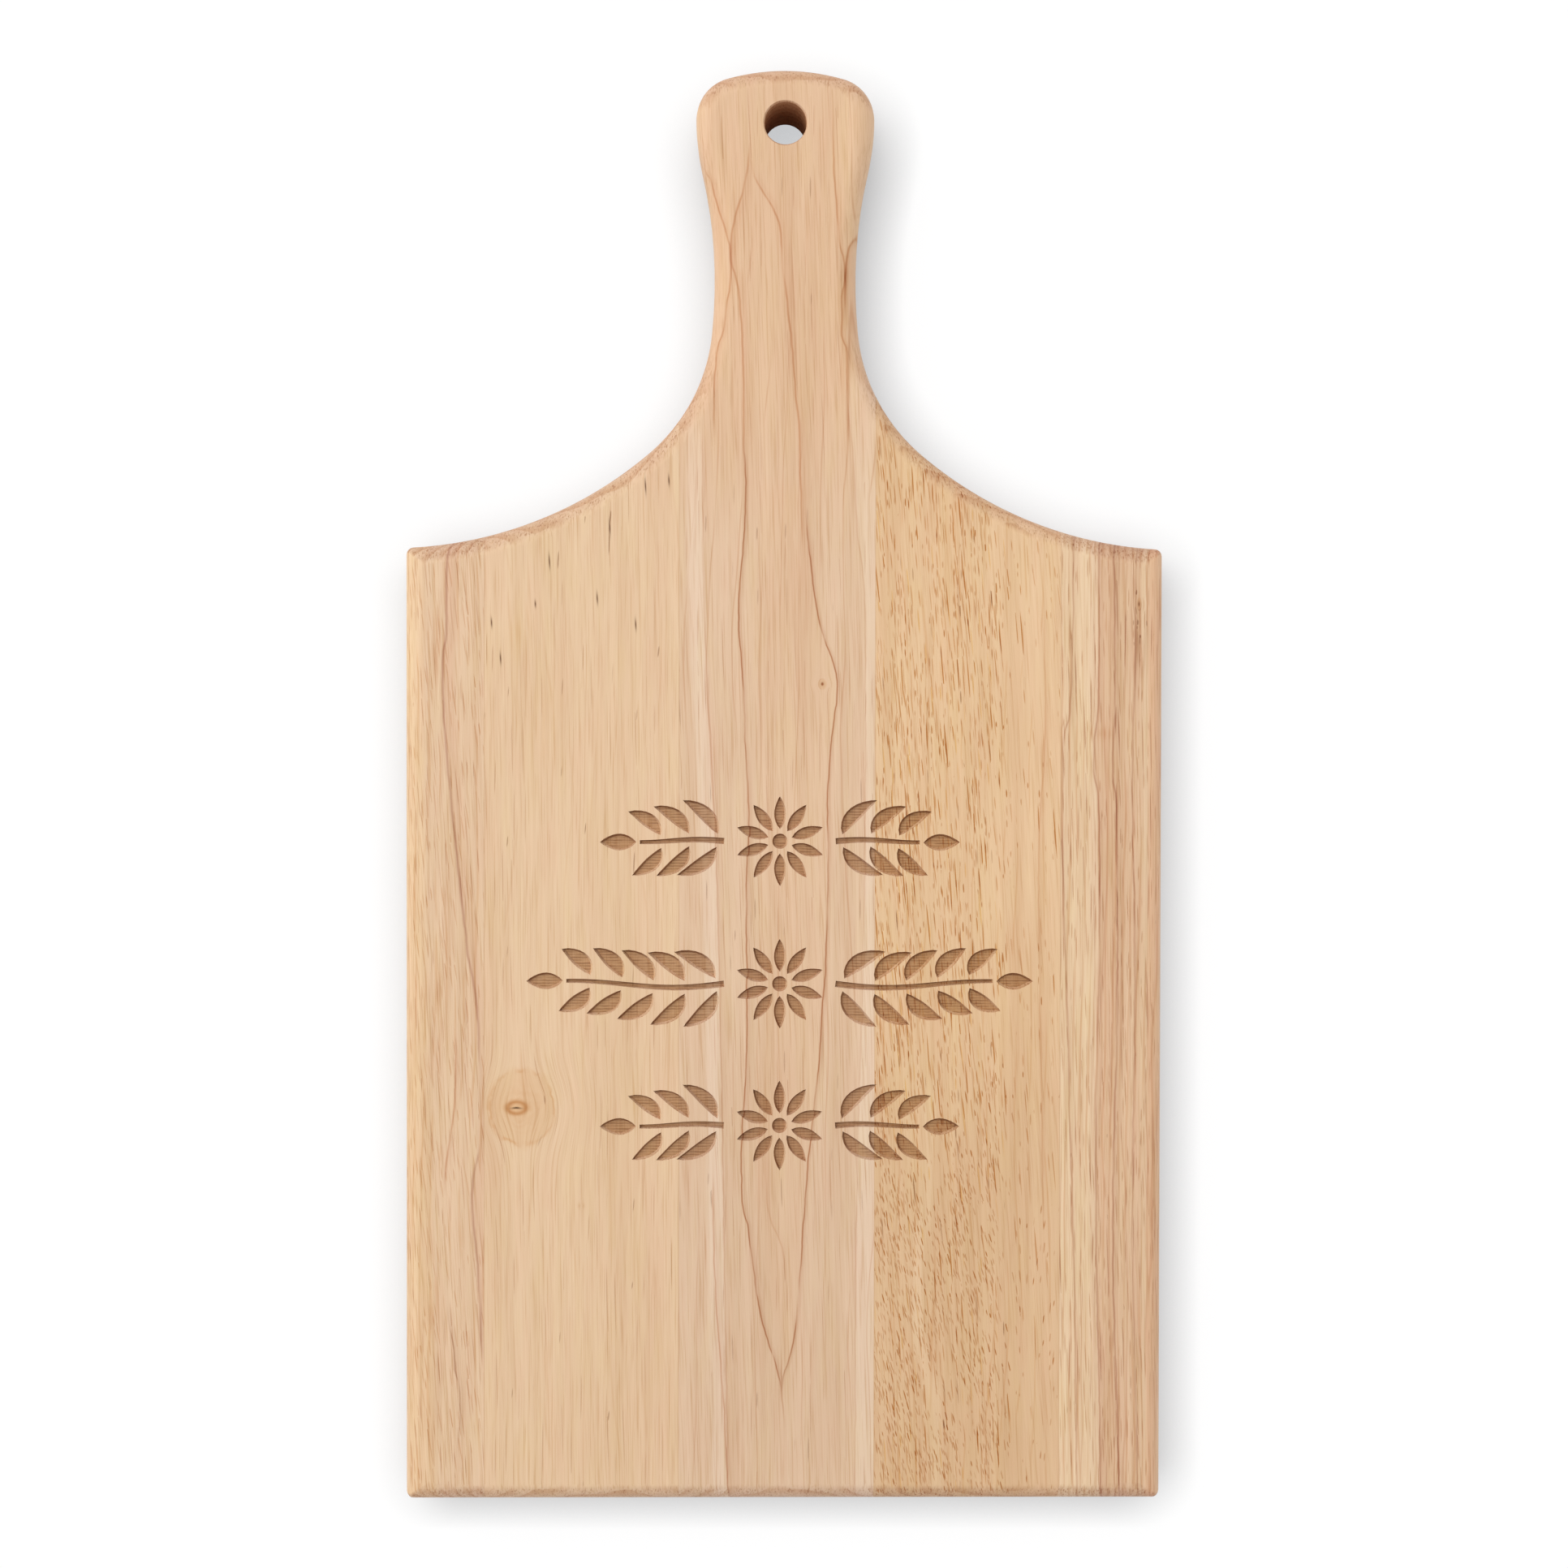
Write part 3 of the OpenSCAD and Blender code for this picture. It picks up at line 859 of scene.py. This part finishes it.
def left_wood():
    """Cream, with one knot low down and a few dark dashes near the shoulder."""
    knot = (-78.7, -96.4, 10.3, 11.6)
    wood = Wood("left_wood", srgb(232, 199, 163), seed=5.2, wander=1.4, knots=[(*knot[:2], 6.0, 9.0)])
    wood.fibre(0.6, 0.75, slant=0.01)
    wood.patches(0.3)
    wood.growth(7.5, 0.30, sway=9.0, shade=(0.86, 0.74, 0.62), width=0.5, shift=1.0, broken=40.0)
    wood.pores(2.8, 19.0, 0.17, 12.0, 0.45, (0.72, 0.55, 0.42), 0.6, slant=0.01, shift=2.0)
    dashes = [
        (-70.4, 67.3, 4.5), (-56.1, 56.3, 3.6), (-74.6, 54.6, 2.2), (-87.7, 49.0, 3.0), (-85.0, 38.3, 3.4),
        (-52.4, 77.5, 4.6), (-41.7, 89.9, 4.6), (-34.7, 91.6, 3.2), (-44.6, 48.5, 3.4)
    ]
    wood.dashes(dashes, 0.06, (0.20, 0.12, 0.08))
    wood.pores(7.5, 19.0, 0.20, 4.0, 0.20, (0.50, 0.36, 0.27), 0.9, slant=-0.06, shift=6.0, sink=0.12)
    wood.blotch(-79.0, 46.0, 4.5, 8.0, (0.93, 0.86, 0.77), 0.8)
    wood.blotch(-72.0, 20.0, 6.0, 16.0, (0.96, 0.92, 0.84), 0.6)
    wood.blotch(-46.0, -150.0, 9.0, 40.0, (0.97, 0.94, 0.93), 0.6)
    left = [(TOP, -95.0), (-60, -91), (FOOT, -89.0)]
    right = [(TOP, -84.0), (20, -86), (-70, -86.5), (FOOT, -85.0)]
    wood.band(left, right, (0.99, 0.965, 0.96), 0.6, soft=2.0)
    left = [(TOP, -46.0), (0, -41), (FOOT, -43.0)]
    wood.band(left, straight(-34, -36), (0.995, 0.975, 0.99), 0.7, soft=2.5)
    wood.knot(*knot, rim=(0.88, 0.74, 0.60), heart=(0.62, 0.46, 0.34), strength=0.8, eye=0.0)
    # The eye of the knot: a darker lens with a short crack across it
    eye_x, eye_y = (wood.x + 80.2) / 3.4, (wood.y + 96.4) / 2.2
    lens = wood.math("SQRT", eye_x * eye_x + eye_y * eye_y)
    wood.dye(wood.bell(lens - 0.8, 0.28), (0.76, 0.58, 0.41))
    wood.dye(wood.bell(lens, 0.9), (0.98, 0.90, 0.78))
    crack_y = wood.y + 96.7 - wood.bell(eye_x, 0.4) * 0.25
    crack = wood.bell(eye_x, 0.42) * wood.bell(crack_y, 0.26)
    wood.dye(crack, (0.16, 0.10, 0.07))
    wood.raise_by(crack * -0.3)
    wood.blotch(-60.7, -125.9, 0.9, 0.9, (0.80, 0.68, 0.54), 0.9)
    return finished(wood, 0.9, pith=(-52, -60), ring=3.4, engraved=True)


def centre_wood():
    """Pinkish tan, with a long pointed figure on the blade and another on the handle."""
    pin = (11.3, 30.8, 1.25, 1.6)
    wood = Wood("centre_wood", srgb(228, 195, 163), seed=9.4, wander=1.3, knots=[pin])
    wood.fibre(0.6, 0.75, slant=0.03)
    wood.patches(0.35)
    left_leg = [
        (216, -8), (134, -11.1), (114, -12.5), (90, -11.8), (71, -12.5), (63, -13.3), (49, -13.8),
        (39, -13), (28, -12.3), (9, -11.6), (-10, -10.7), (-27, -11.3), (-78, -11.2), (-117, -12.8),
        (-133, -10.6), (-153, -8), (-165, -5.2), (-177, -1.6), (-184, -0.6)
    ]
    right_leg = [
        (100, 5.6), (83, 6.4), (67, 7.8), (53, 9.6), (43, 12.4), (35, 15.1), (30, 15.7), (22, 15.1),
        (11, 13.9), (-8, 12.9), (-19, 13.2), (-80, 10.6), (-117, 6.9), (-153, 4.5), (-163, 3.6),
        (-173, 1.4), (-181, -0.4)
    ]
    wood.band(moved(left_leg, 4.0), right_leg, (1.0, 0.965, 0.93), 0.7, soft=2.5, ends=(-176, 90))
    sap_left = [
        (TOP, -27.0), (113, -24.8), (60, -24.2), (0, -21.4), (-40, -19.8), (-80, -18.9), (-153, -17.6),
        (FOOT, -16.6)
    ]
    wood.band(moved(sap_left, -4.6), sap_left, (1.06, 1.12, 1.20), 1.0, soft=0.9, ends=(-300, 108))
    wood.line(sap_left, 0.22, 0.75, (0.78, 0.62, 0.54), halo=2.0, ends=(-230, 106))
    sap_right = [
        (TOP, 15.0), (119, 18.4), (100, 20.3), (76, 21.8), (53, 24), (34, 24.2), (-30, 24), (-130, 21.8),
        (FOOT, 21.6)
    ]
    wood.band(sap_right, straight(40, 40), (1.06, 1.12, 1.19), 0.9, soft=0.7, ends=(-300, 122))
    wood.line(sap_right, 0.22, 0.6, (0.82, 0.68, 0.60), halo=0, ends=(-230, 125))
    wood.growth(6.4, 0.6, sway=5.0, shade=(0.80, 0.64, 0.54), width=0.30, shift=3.0, broken=90.0)
    wood.line(left_leg, 0.22, 1.0, (0.60, 0.35, 0.22), halo=1.2, ends=(-180, 100))
    wood.line(right_leg, 0.22, 1.0, (0.60, 0.35, 0.22), halo=1.0, ends=(-178, 80))
    red = [
        (-119.3, -21.3), (-143.6, -20.8), (-170.4, -19.1), (-187.4, -17.9), (-206.9, -16.9), (-214.2, -16.7)
    ]
    wood.line(red, 0.22, 0.85, (0.74, 0.52, 0.42), halo=1.6, ends=(-212, -120))
    tail = [(-176, -0.6), (-186, -0.2), (-196, 0.4)]
    wood.line(tail, 0.24, 0.7, (0.72, 0.54, 0.42), halo=0, ends=(-190, -172))
    inner_left = [(-60, -5), (-110, -5.6), (-130, -4), (-150, 0.5)]
    wood.line(inner_left, 0.25, 0.5, (0.80, 0.64, 0.52), halo=1.4, ends=(-146, -66))
    # The pointed figure on the handle
    figure = (0.74, 0.51, 0.36)
    peak_left = [
        (198, -10.4), (190, -10.8), (180, -12.1), (168, -15.4), (161, -16.2), (153, -14.8), (145, -13.6),
        (130, -12.7), (114, -12.4)
    ]
    peak_right = [
        (193, -10.6), (185, -9.8), (179, -7.3), (172, -3.3), (165, -1.3), (155, -0.6), (144, 0.7), (130, 2.2),
        (119, 3), (103, 4.5)
    ]
    side_left = [
        (192, -26.2), (182, -22.9), (173, -20.5), (164, -17.4), (157, -16.3), (146, -17.4), (136, -18.7),
        (128, -21)
    ]
    wood.line(peak_left, 0.32, 0.75, figure, halo=2.2, ends=(100, 190))
    wood.line(peak_right, 0.32, 0.80, figure, halo=2.2, ends=(76, 184))
    wood.line(side_left, 0.30, 0.85, figure, halo=1.6, ends=(106, 184))
    fork_left = [
        (214, 14.1), (195, 14.2), (173, 15.4), (161, 16.4), (153, 17.6), (145, 16.9), (136, 16.9), (130, 18.4)
    ]
    fork_right = [(192, 26.8), (178, 23), (165, 20.3), (153, 17.8)]
    wood.band(fork_left, fork_right, (1.05, 1.07, 1.06), 0.8, soft=0.8, ends=(146, 205))
    wood.line(fork_left, 0.26, 0.80, figure, halo=1.0, ends=(106, 200))
    wood.line(fork_right, 0.26, 0.90, figure, halo=1.0, ends=(144, 184))
    wood.blotch(17.6, 153, 0.9, 2.6, (0.68, 0.48, 0.34), 0.9)
    wood.blotch(17.8, 138, 2.6, 20.0, (0.90, 0.79, 0.67), 0.8)
    wood.blotch(-17.0, 168.0, 4.0, 26.0, (0.97, 0.91, 0.85), 0.7)
    wood.blotch(2.0, 60.0, 7.0, 30.0, (0.98, 0.94, 0.92), 0.7)
    wood.pores(2.6, 22.0, 0.18, 14.0, 0.50, (0.74, 0.54, 0.42), 0.65, slant=0.02, shift=2.0)
    # The handle is warmer than the blade, and the foot a little darker
    wood.dye(wood.smooth(wood.y, 60.0, 130.0), (1.0, 0.95, 0.90))
    wood.dye(wood.smooth(wood.y, -50.0, -130.0), (0.975, 0.975, 0.98))
    wood.pores(7.5, 24.0, 0.22, 5.0, 0.25, (0.46, 0.31, 0.23), 0.5, shift=7.0, sink=0.10)
    wood.knot(*pin, rim=(0.70, 0.52, 0.40), heart=(0.66, 0.48, 0.36), strength=0.9, eye=0.3)
    # The wall of the hole is darker and rough, and painted shade darkens it further towards the far mouth
    bore = wood.smooth(wood.from_hole(), HOLE_RADIUS + 0.55, HOLE_RADIUS + 0.03)
    wood.rougher = bore * 0.45
    depth = FACE - wood.z
    wood.dye(bore * wood.smooth(depth, 0.0, 1.0), (0.82, 0.66, 0.52))
    wood.dye(bore * wood.smooth(depth, 2.0, 16.0), (0.64, 0.52, 0.42))
    return finished(wood, 0.85, pith=(2, -34), ring=2.8, engraved=True)


def right_wood():
    """Honey coloured, crowded with coarse pores on its left two thirds."""
    wood = Wood("right_wood", srgb(231, 195, 154), seed=14.1, wander=2.0)
    wood.fibre(0.6, 0.7, slant=0.06)
    wood.patches(0.55)
    coarse = wood.smooth(wood.x, 70.0, 60.0)
    low = wood.smooth(wood.y, -60.0, -130.0)
    cluster = wood.smooth(wood.noise(wood.u / 8.0, wood.y / 45.0, wood.z / 9.0), -0.45, 0.25)
    dense = (coarse * 0.82 + 0.18) * (cluster * 0.70 + 0.30)
    # Short dashes crowd towards the bottom, and long ones towards the top
    lean = (wood.smooth(wood.x, 76.0, 66.0) * 0.36 - 0.16) * low + 0.05
    short, middling, long = dense * (low * 0.75 + 0.25), dense * (1 - low * 0.45), dense * (1 - low * 0.6)
    wood.pores(1.05, 3.0, 0.24, 2.3, 0.98, (0.62, 0.35, 0.13), slant=lean, shift=1.0, where=short)
    wood.pores(1.25, 6.4, 0.22, 4.6, 0.94, (0.70, 0.42, 0.17), slant=0.09, shift=3.0, where=middling)
    wood.pores(1.60, 12.5, 0.22, 9.0, 0.80, (0.66, 0.38, 0.13), slant=0.07, shift=5.0, where=long)
    wood.pores(2.4, 9.0, 0.26, 5.5, 0.45, (0.94, 0.80, 0.52), 0.9, slant=0.08, shift=12.0, where=coarse)
    wood.pores(4.6, 12.0, 0.24, 4.5, 0.28, (0.52, 0.35, 0.22), 0.9, 0.06, 8.0, where=coarse, sink=0.10)
    wood.growth(5.0, 0.5, sway=5.0, shade=(0.84, 0.68, 0.52), width=0.45, shift=6.0, broken=26.0)
    ribbon_left = [(TOP, 36.0), (0, 37.5), (-118, 41.5), (-150, 38), (-184, 43.5), (FOOT, 44.5)]
    wood.band(ribbon_left, moved(ribbon_left, 3.6), (1.06, 1.11, 1.16), 0.9, soft=0.9, ends=(FOOT, -90))
    plain = [(TOP, 66.0), (60, 67), (-40, 66.5), (FOOT, 68.0)]
    wood.band(plain, straight(95, 95), (1.01, 1.01, 1.03), 0.8, soft=2.0)
    wood.blotch(50.0, 58.0, 5.0, 40.0, (0.97, 0.91, 0.83), 0.7)
    wood.dye(low, (0.93, 0.91, 0.90))
    long_line = [(60, 77.6), (20, 78.2), (-20, 76.4), (-60, 76.8), (-140, 78)]
    wood.line(long_line, 0.24, 0.6, (0.80, 0.62, 0.50), halo=1.6, ends=(-130, 56))
    foot_line = [(-177.7, 85), (-192.3, 83.8), (-202, 84.5), (-214.2, 85.3)]
    wood.line(foot_line, 0.22, 0.8, (0.72, 0.52, 0.40), halo=1.0, ends=(-214, -176))
    return finished(wood, 0.9, pith=(70, 85), ring=3.0, engraved=True)


def right_edge_wood():
    """Reddish tan with long straight lines, and one small eye with a stain below it."""
    eye = (106.3, 54.9, 0.7, 1.9)
    wood = Wood("right_edge_wood", srgb(231, 200, 166), seed=21.8, wander=0.9, knots=[eye])
    wood.fibre(0.8, 0.9, slant=0.01)
    wood.patches(0.35)
    wood.growth(2.3, 0.7, sway=2.0, shade=(0.84, 0.68, 0.58), width=0.50, shift=4.0, broken=60.0)
    wood.growth(6.4, 0.6, sway=1.8, shade=(0.78, 0.61, 0.53), width=0.36, shift=8.0, broken=80.0)
    first = [
        (80.2, 86.2), (65.6, 86.5), (41.2, 86.2), (21.8, 85.5), (9.6, 83.5), (-7.4, 83.5), (-80.4, 85.5),
        (-214.2, 88.4)
    ]
    second = [
        (80.2, 94), (41.2, 94.3), (21.8, 94), (8.4, 92.8), (-1.3, 94), (-31.7, 94.7), (-104.7, 93.8),
        (-214.2, 95.5)
    ]
    third = [
        (80.2, 98.6), (55.8, 98.9), (26.6, 99.1), (4.8, 98.6), (-2.5, 99.4), (-56.1, 100.1), (-129, 99.1),
        (-214.2, 101.1)
    ]
    fourth = [(80.2, 105.4), (41.2, 105.2), (2.3, 104.5), (-56.1, 105.4), (-129, 105), (-214.2, 106.7)]
    wood.band(straight(93.4, 95), straight(107, 108), (0.955, 0.905, 0.885), 0.9, soft=1.2)
    wood.band(straight(80, 80), straight(91, 92.5), (1.05, 1.07, 1.05), 0.9, soft=1.2)
    for points, strength in ((first, 0.60), (second, 0.75), (third, 0.85), (fourth, 0.60)):
        wood.line(points, 0.28, strength, (0.62, 0.42, 0.36), halo=1.8)
        wood.line(moved(points, -1.3), 0.24, strength * 0.5, (0.74, 0.56, 0.46), halo=0)
    wood.band(second, third, (0.97, 0.92, 0.89), 0.6, soft=0.8)
    bright = straight(109.4, 109)
    wood.band(bright, straight(112.4, 112.2), (1.01, 0.97, 0.94), 0.8, soft=0.8)
    wood.band(bright, straight(125, 125), (0.99, 0.90, 0.87), 1.0, soft=0.8)
    wood.pores(1.4, 9.0, 0.21, 5.5, 0.70, (0.72, 0.52, 0.40), 0.8, slant=0.02, shift=3.0)
    wood.pores(2.4, 20.0, 0.24, 13.0, 0.55, (0.66, 0.46, 0.38), 0.8, slant=0.01, shift=6.0)
    wood.blotch(94.7, 16.2, 4.0, 2.0, (0.84, 0.68, 0.56), 0.9)
    # A dark speckled stain runs down from the eye
    wood.blotch(106.3, 43.7, 2.2, 9.0, (0.66, 0.52, 0.42), 1.0)
    stain = wood.bell(wood.x - 106.2, 1.8) * wood.bell(wood.y - 46.0, 8.0)
    wood.pores(1.0, 3.0, 0.28, 1.6, 0.8, (0.50, 0.36, 0.28), 0.9, shift=14.0, where=stain)
    wood.knot(*eye, rim=(0.50, 0.36, 0.28), heart=(0.95, 0.90, 0.84), strength=0.9, eye=0.5)
    return finished(wood, 1.0, pith=(160, 30), ring=2.2)


def glue_wood():
    """Cured glue in a joint takes on the colour of the wood beside it, a little darker."""
    wood = Wood("cured_glue", srgb(214, 176, 138), seed=30.0, wander=0.4)
    wood.fibre(0.5, 0.6)
    wood.pores(2.0, 9.0, 0.30, 4.0, 0.4, (0.80, 0.64, 0.50), 0.6)
    return finished(wood, 0.6, pith=(0, -200), ring=4.0, engraved=True, roughness=GLUE_ROUGHNESS)


# ---- floor

# How far the painted soft shade round the board reaches, how dark it is, and the way it is open to
SHADE_REACH, SHADE, SHADE_OPEN = 17.0, 0.66, (-0.28, 0.45, 0.84)
# The paper's plain colour, and what the camera sees: a part that the light falls on and a part that glows
PAPER, LIT, GLOW = 0.86, (0.27, 0.25, 0.23), (0.75, 0.77, 0.79)
# Painted light: how much brighter the paper glows under the hanging hole
HOLE_PAINTED_LIGHT = 0.64
# The floor's half width, and how far it lies below the board, in metres
FLOOR_HALF, FLOOR_DROP = 4.0, 0.00005


def place_floor():
    """White paper under the board. The camera sees it as pure white, apart from the board's soft shadow, part
    cast by the lamp and part painted into the paper's colour.
    """
    shader = Shader("white_paper")
    mottle = shader.noise(shader.x / 90.0, shader.y / 90.0, 0.0, detail=3.0) * 0.004 + PAPER
    paper = shader.node("ShaderNodeBsdfDiffuse", {"Color": shader.vector(mottle, mottle, mottle)})
    inputs = {"Distance": SHADE_REACH * MM, "Normal": shader.vector(*SHADE_OPEN)}
    # Painted shadow: ambient occlusion about a normal tilted towards the lamp darkens the paper's colour near
    # the board
    nearby = shader.node("ShaderNodeAmbientOcclusion", inputs, samples=16)
    shade = 1 - (1 - Signal(shader, nearby.outputs["AO"])) * SHADE
    # Painted light: the paper seen through the hanging hole glows brighter, so it stays light
    hole = shader.smooth(shader.from_hole(), HOLE_RADIUS + 1.65, HOLE_RADIUS + 0.15)
    colour = shader.vector(*(shade * part for part in LIT))
    lit = shader.node("ShaderNodeBsdfDiffuse", {"Color": colour})
    colour = shader.vector(*(shade * part for part in GLOW))
    glow = shader.node("ShaderNodeEmission", {"Color": colour, "Strength": 1 + hole * HOLE_PAINTED_LIGHT})
    seen = shader.node("ShaderNodeAddShader", {0: lit.outputs[0], 1: glow.outputs[0]})
    path = shader.node("ShaderNodeLightPath")
    ray = Signal(shader, path.outputs["Is Camera Ray"]) + Signal(shader, path.outputs["Is Glossy Ray"])
    ray = shader.clamp(ray + Signal(shader, path.outputs["Is Transmission Ray"]))
    choose = shader.node("ShaderNodeMixShader", {0: ray, 1: paper.outputs[0], 2: seen.outputs[0]})
    shader.surface(choose.outputs[0])
    data = bpy.data.meshes.new("floor")
    signs = ((-1, -1), (1, -1), (1, 1), (-1, 1))
    corners = [(across * FLOOR_HALF, along * FLOOR_HALF, -FLOOR_DROP) for across, along in signs]
    data.from_pydata(corners, [], [(0, 1, 2, 3)])
    data.materials.append(shader.material)
    floor = add_object("floor", data)


place_camera()
place_lights()
place_floor()

WOODS = {
    "left_edge_stave": left_edge_wood(),
    "left_stave": left_wood(),
    "centre_stave": centre_wood(),
    "right_stave": right_wood(),
    "right_edge_stave": right_edge_wood(),
}
GLUE = glue_wood()

tool = engraving_tool()
for node, wood in WOODS.items():
    dress(node, wood, tool if node in ENGRAVED else None)
for node in GLUE_LINES:
    dress(node, GLUE, tool if node in ENGRAVED else None)
bpy.data.objects.remove(tool)
